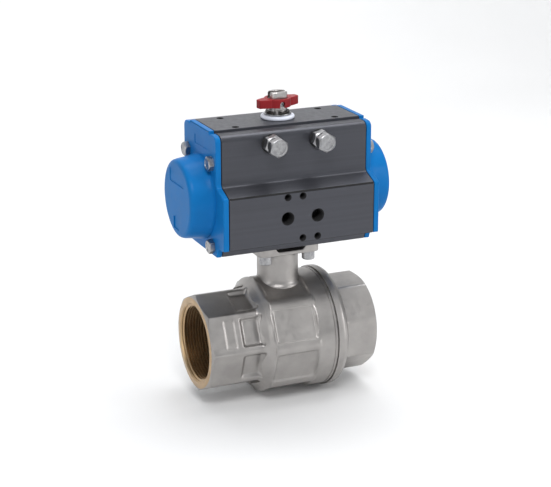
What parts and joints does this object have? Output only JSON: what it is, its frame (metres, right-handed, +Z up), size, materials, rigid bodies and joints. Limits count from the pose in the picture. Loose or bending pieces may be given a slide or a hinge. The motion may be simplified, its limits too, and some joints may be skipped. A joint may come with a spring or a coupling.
{
  "type": "pneumatic actuated ball valve",
  "caption": "Rack-and-pinion pneumatic actuator with blue spring caps, red position indicator and travel stops, on a two-piece threaded ball valve.",
  "frame": {"origin": "where the pipe axis meets the stem axis, at the centre of the ball", "axes": "+X along the pipe towards the screwed end connector, +Z up the stem, -Y towards the air-supply pad and the travel stops"},
  "size_m": [0.1616, 0.0945, 0.2362],
  "materials": {
    "anodised_aluminium": "charcoal hard-anodised satin",
    "coated_blue": "semi-gloss epoxy coating on cast aluminium",
    "rubber": "matt moulded",
    "stainless": "turned and lightly polished",
    "pinion_steel": "nickel-plated turned steel",
    "cast_aluminium": "as cast and machined",
    "acetal": "moulded satin",
    "white_plastic": "moulded satin",
    "spring_steel": "phosphated",
    "red_plastic": "moulded satin",
    "plated_brass": "satin nickel plate over a forged and blasted surface, bare brass in the threads",
    "ptfe": "waxy white",
    "brass": "machined",
    "chromed_ball": "polished hard chrome"
  },
  "bodies": {
    "housing": {"actuator_body": "anodised_aluminium", "end_cap_left": "coated_blue", "end_cap_right": "coated_blue", "cap_gasket_left": "rubber", "cap_gasket_right": "rubber", "cap_screw_left_1": "stainless", "cap_screw_left_2": "stainless", "cap_screw_left_3": "stainless", "cap_screw_left_4": "stainless", "cap_screw_right_1": "stainless", "cap_screw_right_2": "stainless", "cap_screw_right_3": "stainless", "cap_screw_right_4": "stainless", "upper_bearing": "acetal", "lower_bearing": "acetal", "spacer_ring": "white_plastic", "stop_lock_nut_left": "stainless", "stop_lock_nut_right": "stainless", "stop_seal_washer_left": "rubber", "stop_seal_washer_right": "rubber", "valve_body": "plated_brass", "end_connector": "plated_brass", "body_seal": "ptfe", "seat_left": "ptfe", "seat_right": "ptfe", "stem_thrust_washer": "ptfe", "stem_packing": "ptfe", "gland_nut": "brass", "return_spring_left": "spring_steel", "return_spring_right": "spring_steel", "mounting_screw_1": "stainless", "mounting_screw_2": "stainless", "mounting_screw_3": "stainless", "mounting_screw_4": "stainless"},
    "drive": {"pinion": "pinion_steel", "stop_cam": "cast_aluminium", "pinion_o_ring_upper": "rubber", "pinion_o_ring_lower": "rubber", "thrust_washer": "stainless", "snap_ring": "spring_steel", "position_indicator": "red_plastic", "indicator_screw": "stainless", "stem": "stainless", "ball": "chromed_ball"},
    "piston_left_set": {"piston_left": "cast_aluminium", "piston_o_ring_left": "rubber", "piston_guide_band_left": "acetal", "rack_pad_left": "acetal"},
    "stop_bolt_left": {"stop_bolt_left": "stainless"},
    "piston_right_set": {"piston_right": "cast_aluminium", "piston_o_ring_right": "rubber", "piston_guide_band_right": "acetal", "rack_pad_right": "acetal"},
    "stop_bolt_right": {"stop_bolt_right": "stainless"}
  },
  "joints": [
    {"name": "pinion_turn", "type": "hinge", "parent": "housing", "child": "drive", "pos_m": [0, 0, 0], "axis": [0, 0, 1], "range_deg": [0, 90], "stiffness_Nm_per_rad": 2, "springref_deg": -28.65},
    {"name": "piston_right_slide", "type": "slide", "parent": "housing", "child": "piston_right_set", "axis": [1, 0, 0], "range_m": [0, 0.0165], "deforming": ["return_spring_right"]},
    {"name": "piston_left_slide", "type": "slide", "parent": "housing", "child": "piston_left_set", "axis": [-1, 0, 0], "range_m": [0, 0.0165], "deforming": ["return_spring_left"]},
    {"name": "stop_bolt_left_adjust", "type": "slide", "parent": "housing", "child": "stop_bolt_left", "axis": [0, -1, 0], "range_m": [0, 0.0025]},
    {"name": "stop_bolt_right_adjust", "type": "slide", "parent": "housing", "child": "stop_bolt_right", "axis": [0, -1, 0], "range_m": [0, 0.0025]}
  ],
  "couplings": [
    {"joint": "piston_right_slide", "follows": "pinion_turn", "m_per_rad": 0.0105},
    {"joint": "piston_left_slide", "follows": "pinion_turn", "m_per_rad": 0.0105}
  ]
}
